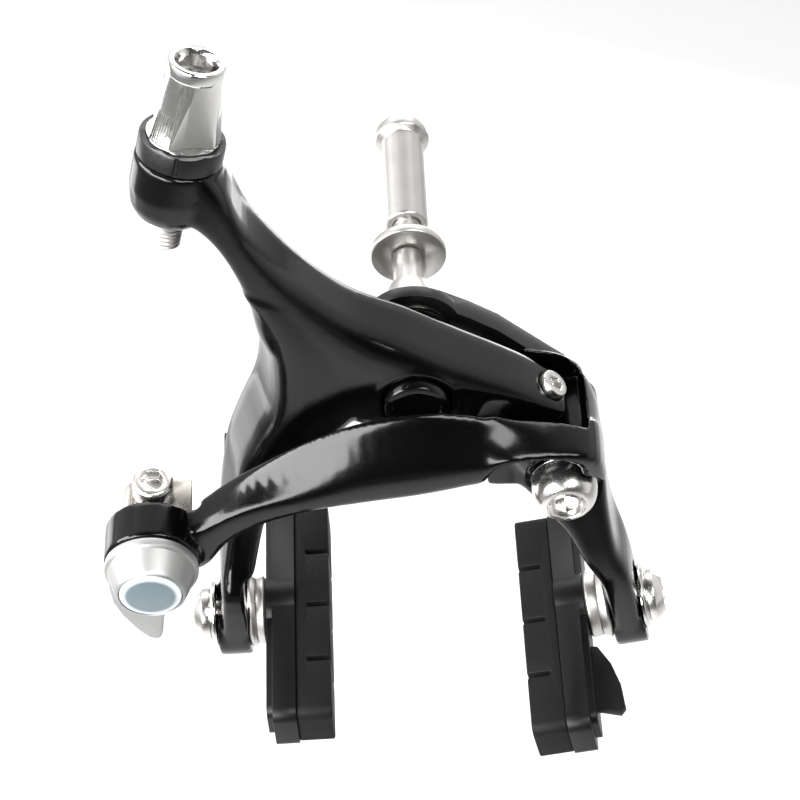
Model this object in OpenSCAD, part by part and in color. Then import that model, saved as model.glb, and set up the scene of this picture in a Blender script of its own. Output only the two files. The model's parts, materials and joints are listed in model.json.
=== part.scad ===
// Dual-pivot side-pull rim brake caliper, arms open, in millimetres.
// X is to the right seen from the front, Y points back along the mounting bolt, Z is up.
// The origin is on the mounting bolt's axis, at the face that seats against the frame or fork.

/* [Mounting bolt] */
// Diameter of the mounting bolt's thread
bolt_d = 6; // [5:0.5:7]
// Length of the bolt behind the seat
bolt_reach = 26; // [22:1:32]
// Diameter of the bolt's shaft that the arm turns on
pivot_d = 8; // [7:0.5:9]
// Diameter of the bolt's seat flange
seat_d = 9.8; // [9:0.2:12]
// Length of the bolt's tapered seat
seat_l = 4.2; // [3.6:0.1:5]
// Outer diameter of the loose fixing washer
washer_d = 14.2; // [12:0.2:18]
// Thickness of the fixing washer
washer_t = 1.8; // [1:0.1:3]
// Place of the fixing washer along the bolt
washer_y = 8.6; // [5:0.2:12]
// Outer diameter of the sleeve nut
sleeve_d = 8; // [7.8:0.1:9]
// Length of the sleeve nut
sleeve_l = 26; // [18:1:32]
// Where the sleeve nut starts on the bolt
sleeve_y = 16.4; // [14:0.2:20]
// Diameter of the sleeve nut's flange
sleeve_flange_d = 10.4; // [9.5:0.2:12]
// Hexagon key size of the sleeve nut
sleeve_key = 5; // [4:0.5:5.5]

/* [Bridge and side pivot] */
// Side pivot, to the right of the bolt
side_x = 26.3; // [25.5:0.1:27]
// Side pivot, below the bolt
side_drop = 19.5; // [19:0.1:20.5]
// Diameter of the side pivot stud
stud_d = 7; // [6:0.5:7.5]
// Front face of the bridge
bridge_y = 9.8; // [9:0.1:10]
// Thickness of the bridge plate
bridge_t = 4.4; // [3.5:0.1:5]
// Radius of the bridge around the bolt
bridge_r = 9; // [8:0.2:10]
// Radius of the bridge around the side pivot
bridge_side_r = 5.6; // [5.4:0.1:7.6]
// Diameter of the dome nut at its base
dome_d = 12; // [10:0.2:12.6]
// Length of the dome nut
dome_l = 6.4; // [5:0.2:8]
// Hexagon key size of the dome nut
dome_key = 4; // [3:0.5:4.5]
// Diameter of the cap nut on the centre pivot
cap_d = 11.5; // [10.4:0.1:12]
// Front face of the cap nut
cap_y = 29; // [28.4:0.1:29.4]

/* [Arms] */
// Width of each leg from front to back
leg_w = 14; // [13:0.2:15.4]
// Thickness of each leg at the shoe
leg_t = 6.2; // [5:0.1:6.8]
// Axis of the shoe bolts, in front of the seat
shoe_y = 31; // [30:0.2:32]
// Left shoe bolt below the mounting bolt, at the leg
left_drop = 54.8; // [54:0.2:56]
// Right shoe bolt below the mounting bolt, at the leg
right_drop = 56.8; // [56:0.2:58]
// Lean of the left leg and its shoe with the arms open
left_lean = 1.5; // [0:0.5:3]
// Lean of the right leg and its shoe with the arms open
right_lean = 11; // [9:0.5:12]
// Length of each slot between its end centres
slot_travel = 9; // [7:0.5:9]
// How far the left slot goes on below the shoe bolt
left_below = 1.8; // [1:0.2:3]
// How far the right slot goes on below the shoe bolt
right_below = 2.8; // [1:0.2:4]
// Radius of the cable stop boss
boss_r = 7.5; // [7:0.1:8]
// Radius of the arm's end at the quick release
eye_r = 8.6; // [8:0.1:9]

/* [Cable adjuster and quick release] */
// Diameter of the adjuster's threaded stem
stem_d = 6; // [5:0.5:6.5]
// Bore for the cable housing's end cap
housing_d = 5.4; // [5:0.1:5.6]
// Depth of the housing bore
housing_depth = 9; // [6:0.5:12]
// Bore for the brake cable
cable_d = 2; // [1.6:0.1:2.4]
// Height of the adjuster barrel
barrel_h = 17.5; // [14:0.5:20]
// Diameter of the barrel's round lower body
barrel_d = 12.4; // [11:0.2:13]
// Diameter of the barrel's top ring
barrel_top_d = 9.6; // [8.5:0.2:10.4]
// Radius of the quick release disc
disc_r = 8.5; // [7.5:0.1:9]
// Diameter of the quick release shaft
qr_shaft_d = 6; // [5:0.5:7]
// Diameter of the cable anchor bolt
anchor_bolt_d = 5; // [4:0.5:5.5]

/* [Brake shoes] */
// Length of a shoe
shoe_l = 50; // [44:1:55]
// How far the left shoe's middle is in front of its bolt
left_set = 2.8; // [0:0.2:8]
// How far the right shoe's middle is in front of its bolt
right_set = 5.2; // [0:0.2:8]
// Height of a shoe
shoe_h = 10; // [9:0.5:12]
// Thickness of the rubber block
rubber_t = 6.6; // [4.5:0.1:7]
// Thickness of the shoe holder
holder_t = 5.6; // [4.8:0.1:6.5]
// Width of a groove in the rubber
groove_w = 1; // [0.8:0.1:2]
// Depth of a groove in the rubber
groove_depth = 4.4; // [1.5:0.1:5]
// Diameter of the shoe bolt
shoe_bolt_d = 6; // [5:0.5:6]
// Diameter of the dished washers
dish_d = 13.6; // [12:0.2:14.4]

/* [Fits] */
// Radial play of a running fit
run_gap = 0.05; // [0.02:0.01:0.1]
// Gap between pieces that must not touch
free_gap = 0.4; // [0.3:0.05:0.6]

/* [Hidden] */

side = [side_x, -side_drop];
bridge_back = bridge_y - bridge_t;
hub_back = bridge_y + 1;
hub_front = 24.6;
hub_r = 7.4;
arm_face = 27.2;
side_boss_r = 7.8;
side_boss_front = 29.8;
dome_y = 30.4;
washer_thin = 0.8;
// Behind a full shank that fills the frame's hole, the bolt has a neck, and then its thread,
// modelled plain at its pitch diameter
thread_r = bolt_d / 2 - 0.325;
neck_r = bolt_d / 2 - 0.7;
shank_l = washer_y - 0.4;

shoe_t = rubber_t + holder_t;
// Side, leg's inner face at the shoe bolt, bolt's drop, lean, slot below the bolt, gap from
// the leg in to the holder's back, how far the shoe is set forward
left_shoe = [-1, 33.3, left_drop, left_lean, left_below, 3.4, left_set];
right_shoe = [1, 36, right_drop, right_lean, right_below, 4.4, right_set];

boss = [-39, -14.5, 44];
cable_lean = [-9.7, 14.3, 0];
boss_top = 5.5;
boss_bottom = -6.6;
eye = [-48.7, -23];
eye_back = 35;
eye_front = 43;

black = "#1b1b1d";
silver = "#c9c9c6";
rubber_black = "#2a2a2a";

// Local Z points to the front, along the pivots, from a face y in front of the seat
module at_front(xz, y) {
    translate([xz[0], -y, xz[1]]) rotate([90, 0, 0]) children();
}

// A round pin along the pivots, between two faces in front of the seat
module pin(xz, d, back, front) {
    at_front(xz, back) cylinder(d = d, h = front - back, $fn = 64);
}

// Local Z points along the brake cable, up through the cable stop boss
module on_cable() {
    translate(boss) rotate(cable_lean) children();
}

// Local Z points away from the wheel, along the shoe bolt of one side. The start is out from
// the leg's inner face, and up along the slot.
module on_shoe_bolt(shoe, out, up = 0) {
    translate([shoe[0] * shoe[1], -shoe_y, -shoe[2]]) rotate([0, -shoe[3], 0])
        translate([shoe[0] * out, 0, up]) rotate([0, shoe[0] * 90, 0]) children();
}

// X and Z of a point out from the leg's inner face and up along its slot
function leg_point(shoe, out, up) = [
    shoe[0] * (shoe[1] + out * cos(shoe[3])) - up * sin(shoe[3]),
    -shoe[2] + shoe[0] * out * sin(shoe[3]) + up * cos(shoe[3])];
function leg_row(shoe, up, back, front) =
    concat(leg_point(shoe, leg_t, up), leg_point(shoe, 0, up), [back, front, 0.4, 0]);

// Catmull-Rom blend of one row of numbers to the next
function blend(a, b, c, d, t) =
    0.5 * (2 * b + (c - a) * t + (2 * a - 5 * b + 4 * c - d) * t * t
        + (3 * b - a - 3 * c + d) * t * t * t);
function smooth_rows(rows, steps) = [
    for (i = [0 : len(rows) - 2], s = [0 : steps - 1])
        blend(rows[max(i - 1, 0)], rows[i], rows[i + 1], rows[min(i + 2, len(rows) - 1)], s / steps),
    rows[len(rows) - 1]];

// A forged arm is a run of rounded four-cornered sections. Going along the rows, the outer
// edge is always on the left, seen from the front. A row gives one section:
// outer edge x and z, inner edge x and z, back face, front face, and how far the front
// face's outer and inner corners are drawn in, which slants the flanks.
function towards(a, b, d) = a + (b - a) * d / norm(b - a);
function squircle(angle, power) = [
    sign(cos(angle)) * pow(abs(cos(angle)), 2 / power),
    sign(sin(angle)) * pow(abs(sin(angle)), 2 / power)];
function corner_mix(o, f, g, i, u, v) =
    ((1 + u) * (1 - v) * o + (1 + u) * (1 + v) * f
        + (1 - u) * (1 + v) * g + (1 - u) * (1 - v) * i) / 4;
function section(row, sides, power) =
    let (o = [row[0], row[1]], i = [row[2], row[3]],
         f = towards(o, i, row[6]), g = towards(i, o, row[7]))
    [for (k = [0 : sides - 1])
        let (uv = squircle(360 * (k + 0.5) / sides, power))
        corner_mix([o[0], -row[4], o[1]], [f[0], -row[5], f[1]],
            [g[0], -row[5], g[1]], [i[0], -row[4], i[1]], uv[0], uv[1])];

// Skin over the sections, with flat ends
module skin(rings) {
    n = len(rings[0]);
    last = len(rings) - 1;
    polyhedron(
        points = [for (ring = rings) each ring],
        faces = [
            [for (k = [0 : n - 1]) k],
            [for (k = [n - 1 : -1 : 0]) last * n + k],
            for (r = [0 : last - 1], k = [0 : n - 1])
                each let (a = r * n + k, b = r * n + (k + 1) % n)
                    [[a, a + n, b + n], [a, b + n, b]]]);
}
module forged(rows, steps = 4, sides = 24, power = 5) {
    skin([for (row = smooth_rows(rows, steps)) section(row, sides, power)]);
}

// A bent wire: rings round each point of the route, square to it
function unit(v) = v / norm(v);
function wire_ring(route, k, r, sides) =
    let (dir = unit(route[min(k + 1, len(route) - 1)] - route[max(k - 1, 0)]),
         side_dir = unit(cross(dir, abs(dir[1]) > 0.8 ? [1, 0, 0] : [0, 1, 0])),
         up_dir = cross(dir, side_dir))
    [for (a = [0 : sides - 1])
        route[k] + r * (cos(360 * a / sides) * side_dir + sin(360 * a / sides) * up_dir)];
module wire(route, d, sides = 8) {
    skin([for (k = [0 : len(route) - 1]) wire_ring(route, k, d / 2, sides)]);
}

// ---- Mounting bolt, bridge and pivots ----

module bridge() {
    shoulder_r = seat_d / 2 + 0.2;
    color(black) difference() {
        union() {
            pin([0, 0], 2 * bridge_r, bridge_back + 2, bridge_y);
            // the boss round the bolt narrows towards the seat
            at_front([0, 0], seat_l) rotate_extrude($fn = 72) polygon([
                [0, 0], [shoulder_r, 0], [bridge_r, bridge_back + 2 - seat_l],
                [bridge_r, bridge_y - seat_l], [0, bridge_y - seat_l]]);
            pin(side, 2 * bridge_side_r, bridge_back, bridge_y);
            at_front([0, 0], bridge_back) linear_extrude(bridge_t)
                polygon([[5, 5.6], [10.4, 2.4], [15.6, -1.3], side + [2, 6], side + [-4, -5],
                    [8, -13.5], [-4, -13.5], [-9, -4.8]]);
            // ear that carries the spring guide
            at_front([0, 0], bridge_back) linear_extrude(bridge_t)
                polygon([[-9, -2], [0, -9], [-1, -21], [-3.4, -24.6], [-8.6, -24.6], [-11, -21]]);
        }
        // lightening pocket in the back, between the two pivots
        at_front([0, 0], bridge_back - 1) linear_extrude(2.6)
            polygon([[10.6, -1], [12.4, -1.2], side + [-6.6, 5.6], side + [-8.2, -0.5],
                [9, -9.5], [7.2, -8.2]]);
        pin([0, 0], pivot_d + 2 * run_gap, 0, hub_back);
        pin(side, stud_d + 2 * run_gap, 0, hub_back);
        pin(side, stud_d + 1.8, 0, bridge_back + 1.3);
        pin(spring_eye, guide_d + 2 * run_gap, 0, hub_back);
    }
}

// The tapered seat rests against the frame, and the bridge sits against its front
module mounting_bolt() {
    shank_r = bolt_d / 2;
    color(silver) rotate([90, 0, 0]) rotate_extrude($fn = 72) polygon([
        [0, -bolt_reach], [thread_r - 0.6, -bolt_reach], [thread_r, -bolt_reach + 0.6],
        [thread_r, -shank_l - 1.2], [neck_r, -shank_l - 0.8], [neck_r, -shank_l - 0.3],
        [shank_r, -shank_l], [shank_r, 0], [shank_r + 1.1, 0], [seat_d / 2, seat_l - 0.8], [seat_d / 2, seat_l],
        [pivot_d / 2, seat_l], [pivot_d / 2, cap_y - 1.2], [0, cap_y - 1.2]]);
}

module hub_washer() {
    color(silver) difference() {
        pin([0, 0], pivot_d + 5, bridge_y, bridge_y + washer_thin);
        pin([0, 0], pivot_d + 2 * run_gap, bridge_y - 1, hub_back);
    }
}

module cap_washer() {
    color(silver) difference() {
        pin([0, 0], cap_d - 0.6, hub_front + 0.1, hub_front + 0.1 + washer_thin);
        pin([0, 0], pivot_d + 2 * run_gap, hub_front - 1, cap_y);
    }
}

module cap_nut() {
    back = hub_front + 0.1 + washer_thin;
    rim = cap_d / 2;
    color(black) difference() {
        at_front([0, 0], back) rotate_extrude($fn = 72) polygon([
            [0, 0], [rim, 0], [rim, cap_y - back - 0.5], [rim - 0.5, cap_y - back], [0, cap_y - back]]);
        pin([0, 0], pivot_d + 2 * run_gap, back - 1, cap_y - 1.2);
    }
}

module side_pivot_stud() {
    color(silver) union() {
        pin(side, stud_d, bridge_back, dome_y + dome_l - 2.9);
        pin(side, stud_d + 1.6, bridge_back, bridge_back + 1.3);
    }
}

module side_pivot_washers() {
    color(silver) difference() {
        union() {
            pin(side, stud_d + 4, bridge_y, bridge_y + 0.5);
            pin(side, dome_d, side_boss_front + 0.1, dome_y);
        }
        pin(side, stud_d + 2 * run_gap, bridge_y - 1, dome_y + 1);
    }
}

// The nut's side is an arc from its base to its flat front
module side_dome_nut() {
    base_r = dome_d / 2;
    front_r = 3.7;
    skirt = 1.6;
    color(silver) difference() {
        at_front(side, dome_y) rotate_extrude($fn = 72) polygon([
            [0, 0], [base_r, 0],
            for (t = [0 : 0.125 : 1])
                [front_r + (base_r - front_r) * cos(90 * t),
                    skirt + (dome_l - skirt) * sin(90 * t)],
            [0, dome_l]]);
        pin(side, stud_d + 2 * run_gap, dome_y - 1, dome_y + dome_l - 2.9);
        at_front(side, dome_y + dome_l - 2.8) cylinder(d = dome_key / cos(30), h = 4, $fn = 6);
    }
}

// One wire, wound once round a guide below the bolt, pushing both legs outwards
spring_d = 2;
spring_y = bridge_back - 2.2;
spring_eye = [-6, -20.4];
spring_coil_r = 4.2;
guide_d = 5;
module return_spring() {
    pitch = spring_d + 0.4;
    low = spring_eye[1] - spring_coil_r;
    route = concat(
        [[-34.4, -11.1, -26.5], [-32, -10.3, -25.6], [-27, -spring_y - 2, -24.8],
            [-20, -spring_y, -24.6], [-13, -spring_y, low]],
        [for (a = [0 : 30 : 360])
            [spring_eye[0] + spring_coil_r * sin(a), -spring_y + pitch * (a / 360 - 0.5),
                spring_eye[1] - spring_coil_r * cos(a)]],
        [[4, -spring_y + pitch / 2, low], [14, -spring_y, -26.4], [24, -7, -30], [30, -12.4, -33.6],
            [32.5, -16.1, -35.4]]);
    color(silver) wire(route, spring_d);
}

module spring_guide() {
    color(black) pin(spring_eye, guide_d, bridge_back - 4.8, bridge_y);
}

module fixing_washer() {
    color(silver) translate([0, washer_y, 0]) rotate([-90, 0, 0]) difference() {
        rotate_extrude($fn = 72) polygon([
            [0, 0], [washer_d / 2 - 0.2, 0], [washer_d / 2, 0.2], [washer_d / 2, washer_t - 0.2],
            [washer_d / 2 - 0.2, washer_t], [0, washer_t]]);
        translate([0, 0, -1]) cylinder(r = thread_r + 0.15, h = washer_t + 2, $fn = 64);
    }
}

module sleeve_nut() {
    flange_t = 2.4;
    color(silver) translate([0, sleeve_y, 0]) rotate([-90, 0, 0]) difference() {
        rotate_extrude($fn = 72) polygon([
            [0, 0], [sleeve_d / 2 - 0.4, 0], [sleeve_d / 2, 0.4],
            [sleeve_d / 2, sleeve_l - flange_t - 1], [sleeve_flange_d / 2, sleeve_l - flange_t],
            [sleeve_flange_d / 2, sleeve_l - 0.4], [sleeve_flange_d / 2 - 0.4, sleeve_l], [0, sleeve_l]]);
        translate([0, 0, -1])
            cylinder(r = thread_r + run_gap, h = bolt_reach - sleeve_y + 2, $fn = 64);
        translate([0, 0, sleeve_l - 5]) cylinder(d = sleeve_key / cos(30), h = 6, $fn = 6);
    }
}

// ---- Arm on the centre bolt, with its cable stop and its left leg ----

function leg_back() = shoe_y - leg_w / 2;
function leg_front() = shoe_y + leg_w / 2;
// the leg is straight from its foot to here, above the shoe bolt
flat_up = 12;

upper_arm_rows = [
    [-34, 50.5, -41, 40, 9.5, 20.5, 0, 0],
    [-30.2, 45, -36.4, 38.6, 9.5, 22, 0, 0.4],
    [-27.3, 37.1, -32.2, 33.4, 10.5, 23.2, 0, 0.4],
    [-22.5, 29.5, -29.2, 22, 11.4, 24.4, 0, 1.6],
    [-16.3, 22.3, -28, 8, 12, 25.4, 0, 4],
    [-9.3, 15.9, -17, -6, 12, 26.4, 0, 2],
    [-1, 11.2, -3, -10.4, 12, arm_face, 0, 0],
    [8, 5.4, 6, -10.4, 12.6, 26.8, 0, 0],
    [19.2, -1.7, 14.4, -8.8, 13.6, 25.6, 0, 0],
    [27.2, -8, 22, -14.8, 14.4, 24.6, 0, 0]];

left_leg_rows = [
    leg_row(left_shoe, -left_below, leg_back(), leg_front()),
    [-38.4, -43, -32.2, -43.4, leg_back(), leg_front() - 0.4, 0.6, 0],
    [-38.4, -37, -31, -39, 19.6, 34, 1.6, 0],
    [-37.3, -27, -28.5, -30.5, 16, 29.4, 3, 0],
    [-35.6, -18, -24.5, -23, 13.6, 27.4, 3.7, 0],
    [-32.8, -10, -19, -15.5, 12.5, 27.2, 4.4, 0],
    [-29.6, -1.5, -13, -9, 12, 27, 4.8, 0],
    [-28.4, 8, -8, -2, 12, 26.6, 4.6, 0],
    [-28.8, 17, -8, 9, 11.5, 26, 3.6, 0],
    [-30.4, 26, -16, 20, 11, 25, 1.5, 0]];

// The centring screw goes down through the nose, square to its top face
screw_top = [24.6, -5.9];
screw_lean = 41.4;
screw_y = 19.6;
screw_d = 4;
screw_head_d = 5.4;
screw_l = 10.2;
module on_screw() {
    translate([screw_top[0], -screw_y, screw_top[1]]) rotate([0, screw_lean, 0]) children();
}

module leg_end(shoe) {
    on_shoe_bolt(shoe, 0, -shoe[4]) cylinder(r = leg_w / 2, h = leg_t, $fn = 64);
}
module leg_slot(shoe) {
    slot_w = shoe_bolt_d + 0.2;
    past = 3;
    for (up = [-shoe[4], slot_travel - shoe[4]])
        on_shoe_bolt(shoe, -past, up) cylinder(d = slot_w, h = leg_t + 2 * past, $fn = 48);
    on_shoe_bolt(shoe, -past, slot_travel / 2 - shoe[4])
        translate([-slot_travel / 2, -slot_w / 2, 0]) cube([slot_travel, slot_w, leg_t + 2 * past]);
}
// flat face that the dished washers slide on
module leg_flat(shoe) {
    deep = 3;
    long = slot_travel + dish_d + 1;
    on_shoe_bolt(shoe, -deep, slot_travel / 2 - shoe[4])
        translate([-long / 2, -leg_w, 0]) cube([long, 2 * leg_w, deep]);
}

slider = [5, 4.8, 6];
slider_at = [-36, -17, -29.4];
module y_arm() {
    color(black) difference() {
        union() {
            forged(upper_arm_rows);
            forged(left_leg_rows);
            pin([0, 0], 2 * hub_r, hub_back, arm_face);
            on_cable() rotate_extrude($fn = 72) polygon([
                [0, boss_bottom], [boss_r - 3.2, boss_bottom], [boss_r - 1.6, boss_bottom + 0.9],
                [boss_r - 0.6, boss_bottom + 2.6], [boss_r, boss_bottom + 6],
                [boss_r, boss_top - 0.4], [boss_r - 0.4, boss_top],
                [0, boss_top]]);
            leg_end(left_shoe);
        }
        pin([0, 0], pivot_d + 2 * run_gap, 0, cap_y + 2);
        pin([0, 0], cap_d + 2 * free_gap, hub_front, cap_y + 2);
        on_cable() translate([0, 0, -20]) cylinder(d = stem_d + 2 * run_gap, h = 40, $fn = 48);
        leg_slot(left_shoe);
        leg_flat(left_shoe);
        on_screw() translate([0, 0, -screw_l - 4])
            cylinder(d = screw_d + 2 * run_gap, h = screw_l + 6, $fn = 48);
        on_screw() translate([0, 0, -1]) cylinder(d = screw_head_d + 0.4, h = 8, $fn = 48);
        translate(slider_at - 0.1 * [1, 1, 1]) cube(slider + 0.2 * [1, 1, 1]);
        // the collar's seat on the boss is clear of the arm
        on_cable() translate([0, 0, boss_top]) cylinder(r = boss_r + 0.1, h = 12, $fn = 64);
    }
}

// Plastic block that the spring's left end slides on
module y_arm_slider() {
    color(rubber_black) translate(slider_at) cube(slider);
}

module centering_screw() {
    key = 2.5;
    color(silver) on_screw() difference() {
        union() {
            translate([0, 0, -1]) cylinder(d = screw_head_d, h = 2.2, $fn = 48);
            translate([0, 0, -screw_l]) cylinder(d1 = screw_d - 2.4, d2 = screw_d, h = 1.2, $fn = 48);
            translate([0, 0, 1.2 - screw_l]) cylinder(d = screw_d, h = screw_l - 1.2, $fn = 48);
        }
        translate([0, 0, -0.4]) cylinder(d = key / cos(30), h = 3, $fn = 6);
    }
}

// ---- Cable adjuster ----

barrel_base = boss_top + 2;
barrel_top = barrel_base + barrel_h - 1;
stem_top = barrel_top - housing_depth - 0.3;

module adjuster_stem() {
    stem_bottom = boss_bottom - 5.8;
    color(silver) on_cable() difference() {
        translate([0, 0, stem_bottom])
            cylinder(d = stem_d, h = stem_top - stem_bottom, $fn = 48);
        translate([0, 0, stem_bottom - 1])
            cylinder(d = cable_d, h = stem_top - stem_bottom + 2, $fn = 32);
    }
}

// Soft cup that the barrel turns in
module adjuster_collar() {
    outer = boss_r - 0.2;
    color(rubber_black) on_cable() difference() {
        translate([0, 0, boss_top]) rotate_extrude($fn = 72) polygon([
            [stem_d / 2 + 0.2, 0], [outer, 0], [outer, 3.8], [outer - 0.6, 4.4],
            [barrel_d / 2 + 0.1, 4.4], [barrel_d / 2 + 0.1, 1.9], [stem_d / 2 + 0.2, 1.9]]);
    }
}

// Tapers from its cup to a round lip, with three finger flats that run out in an arch below the
// lip, and a mouth that takes the housing's end cap
module adjuster_barrel() {
    flats = 3;
    flat_out = 4.7;
    flat_curve = 30;
    flat_turn = 16;
    in_cup = 2.2;
    r = barrel_d / 2;
    ring_r = barrel_top_d / 2;
    stem_bore = stem_d / 2 + run_gap;
    cable_bore = cable_d / 2 + 0.2;
    mouth = barrel_h - 1;
    color(silver) on_cable() difference() {
        intersection() {
            translate([0, 0, barrel_base]) rotate_extrude($fn = 72) polygon([
                [0, 0], [r - 0.3, 0], [r, 0.3], [r, 2.6], [ring_r - 0.2, barrel_h - 3.4],
                [ring_r, barrel_h - 3], [ring_r, barrel_h - 1.4], [ring_r - 0.4, mouth],
                [0, mouth]]);
            translate([0, 0, barrel_base]) union() {
                cylinder(r = 1.2 * r, h = in_cup, $fn = 96);
                linear_extrude(mouth) difference() {
                    circle(r = 1.2 * r, $fn = 96);
                    for (k = [0 : flats - 1]) rotate(360 * k / flats - 90 + flat_turn)
                        translate([flat_curve + flat_out, 0]) circle(r = flat_curve, $fn = 180);
                }
                translate([0, 0, barrel_h - 3.2]) cylinder(r = 1.2 * r, h = 3.2, $fn = 96);
            }
        }
        // one stepped bore: the stem, the cable, and the mouth for the housing's end cap
        translate([0, 0, barrel_base]) rotate_extrude($fn = 72) polygon([
            [0, -1], [stem_bore, -1], [stem_bore, stem_top - barrel_base + 0.1],
            [cable_bore, stem_top - barrel_base + 0.1], [cable_bore, mouth - housing_depth],
            [housing_d / 2, mouth - housing_depth], [housing_d / 2, mouth - 1.2],
            [housing_d / 2 + 1.2, mouth + 0.2], [0, mouth + 0.2]]);
    }
}

// ---- Arm on the side pivot, with its front band, its eye and its right leg ----

band_rows = [
    [-48.4, -17.4, -48.4, -29, eye_back, 42, 1, 1],
    [-41, -17.2, -40, -29.4, 33, 40.6, 0.6, 0.6],
    [-35, -14.2, -35, -23.6, 31, 39.6, 0.8, 0.5],
    [-29.5, -10.2, -28.6, -19.6, 30.7, 39, 3, 0.6],
    [-19.6, -3.2, -20.5, -18.2, 30.5, 38.6, 8.4, 2],
    [-10, 1.6, -11, -18.6, 30.5, 38.1, 11, 3.6],
    [0, 3.6, 0, -18.2, 30.5, 37.9, 11.6, 4.6],
    [8.5, 2.2, 8, -17.4, 30.3, 37.7, 9, 5.6],
    [11.6, 1, 11.2, -16.8, 30.2, 37.7, 7.4, 6],
    [13.6, 0.2, 13.6, -8.8, 30, 37.7, 6, 1.4],
    [17.8, -1.9, 17.4, -7.2, 29.8, 37.5, 2.9, 1.2],
    [25.4, -4.2, 24.8, -8.2, 28.6, 36.6, 1.4, 1],
    [31.8, -7.4, 28, -11.6, 25.5, 35.8, 0.6, 0.8],
    [34.2, -16, 28.4, -19.4, 20, 34, 0.4, 0.4]];

right_leg_rows = [
    [20.6, -3.4, 15, -12, hub_back, 30.6, 1, 0],
    [28.4, -5.4, 17, -17, hub_back, 30.8, 1, 0],
    [32.7, -12.4, 19.4, -23, hub_back, 30.6, 0.6, 0],
    [34.4, -19.6, 21.6, -28, 11.4, 31.6, 0.4, 0],
    [35.2, -27.4, 26.4, -32.4, 14.4, 34, 0.4, 0],
    [36.8, -36, 30, -38.6, 18, 36.6, 0.4, 0],
    leg_row(right_shoe, flat_up, leg_back() - 1, leg_front() - 0.2),
    leg_row(right_shoe, -right_below, leg_back(), leg_front())];

module c_arm() {
    color(black) difference() {
        union() {
            forged(band_rows);
            forged(right_leg_rows);
            pin(side, 2 * side_boss_r, hub_back, side_boss_front);
            pin(eye, 2 * eye_r, eye_back, eye_front);
            // ear that the centring screw pushes on
            at_front([0, 0], 12.4) linear_extrude(17.2) polygon([
                [12.6, -15.2], [13.4, -14.4], [20, -14.4], [24, -20], [22, -26], [18, -21.6],
                [13, -21.4], [12.4, -20.8]]);
            leg_end(right_shoe);
        }
        // pocket that the nose of the other arm lies in
        at_front([0, 0], 12.6) linear_extrude(16.8) polygon([
            [8, -14.2], [18.2, -14.2], [20.4, -15.4], [22.2, -16], [25.4, -12.4], [27, -11.9],
            [30.4, -11.4], [31, -9], [30, -5.4], [27, 4], [8, 8]]);
        // the pocket is open to the front above the band
        at_front([0, 0], 12.6) linear_extrude(30.8) polygon([
            [8, 2], [12.6, -0.2], [17.8, -2.4], [22.6, -4], [25.6, -4.5], [28.2, -3.1], [29.4, 0.4], [29.4, 8],
            [8, 8]]);
        // room for the dome nut in front of the side boss
        pin(side, dome_d + 2, side_boss_front, side_boss_front + 20);
        pin(side, stud_d + 2 * run_gap, 0, side_boss_front + 10);
        pin(eye, qr_shaft_d + 2 * run_gap, eye_back - 17, eye_front + 7);
        leg_slot(right_shoe);
        leg_flat(right_shoe);
        // room for the cable anchor to swivel behind the eye
        pin(eye, 21.6, 24, eye_back);
        // the band stays clear of the hub and the cap nut behind it
        pin([0, 0], 24, 20, 30.2);
    }
}

// ---- Quick release and cable anchor ----

disc_back = eye_front + 0.15;
disc_front = eye_front + 7;
cap_r = 5.6;
module quick_release_lever() {
    deep = disc_front - disc_back;
    color(silver) difference() {
        union() {
            at_front(eye, disc_back) rotate_extrude($fn = 72) polygon([
                [0, 0], [disc_r - 0.5, 0], [disc_r, 0.5], [disc_r, 1.6], [disc_r - 0.4, 2],
                for (t = [0.1 : 0.15 : 1]) [cap_r + 0.9 + (disc_r - cap_r - 1.3) * cos(90 * t),
                    2 + (deep - 2) * sin(90 * t)],
                [cap_r + 0.9, deep], [0, deep]]);
            // lever blade, down and to the left, thinning to its tip
            at_front(eye, disc_back + 0.6) linear_extrude(3.2) polygon([
                [-8.3, 1], [-8.3, -2], [-7.8, -6], [-6.4, -10.2], [-4, -14.7], [-1.8, -17.4],
                [-0.2, -17.8], [0.6, -16.4], [1.2, -11], [5.4, -6.4]]);
        }
        at_front(eye, disc_front - 1) cylinder(r = cap_r + 0.1, h = 2, $fn = 64);
        pin(eye, qr_shaft_d + 2 * run_gap, 40, disc_front - 2);
    }
}

module quick_release_cap() {
    color("#8fa3b0") at_front(eye, disc_front - 1) rotate_extrude($fn = 72) polygon([
        [0, 0], [cap_r, 0], [cap_r, 0.7], [cap_r - 0.8, 1.1], [0, 1.4]]);
}

anchor_back = 27;
module quick_release_shaft() {
    color(silver) pin(eye, qr_shaft_d, anchor_back - 1.6, disc_front - 2);
}

module shaft_clip() {
    color(silver) difference() {
        pin(eye, qr_shaft_d + 3, anchor_back - 1.2, anchor_back - 0.2);
        pin(eye, qr_shaft_d + 2 * run_gap, anchor_back - 2, anchor_back);
    }
}

// The block swivels on the shaft and holds the cable under a plate
anchor_front = eye_back - 0.15;
anchor_lean = 5;
block_top = 3.6;
module on_anchor() {
    translate([eye[0], -(anchor_back + anchor_front) / 2, eye[1]]) rotate([0, anchor_lean, 0])
        children();
}

module anchor_block() {
    long = 10.9;
    deep = anchor_front - anchor_back - 0.4;
    color(silver) difference() {
        union() {
            pin(eye, qr_shaft_d + 5, anchor_back, anchor_front);
            on_anchor() translate([-3.9, -deep / 2, -2]) cube([long, deep, block_top + 2]);
        }
        on_anchor() translate([-8, -deep, block_top]) cube([16, 2 * deep, 4]);
        pin(eye, qr_shaft_d + 2 * run_gap, 20, 40);
        on_anchor() translate([0, 0, 0.5]) cylinder(d = anchor_bolt_d + 2 * run_gap, h = 20, $fn = 48);
        on_anchor() translate([5.3, 0, block_top]) rotate([90, 0, 0])
            cylinder(d = cable_d, h = 20, center = true, $fn = 32);
    }
}

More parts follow.
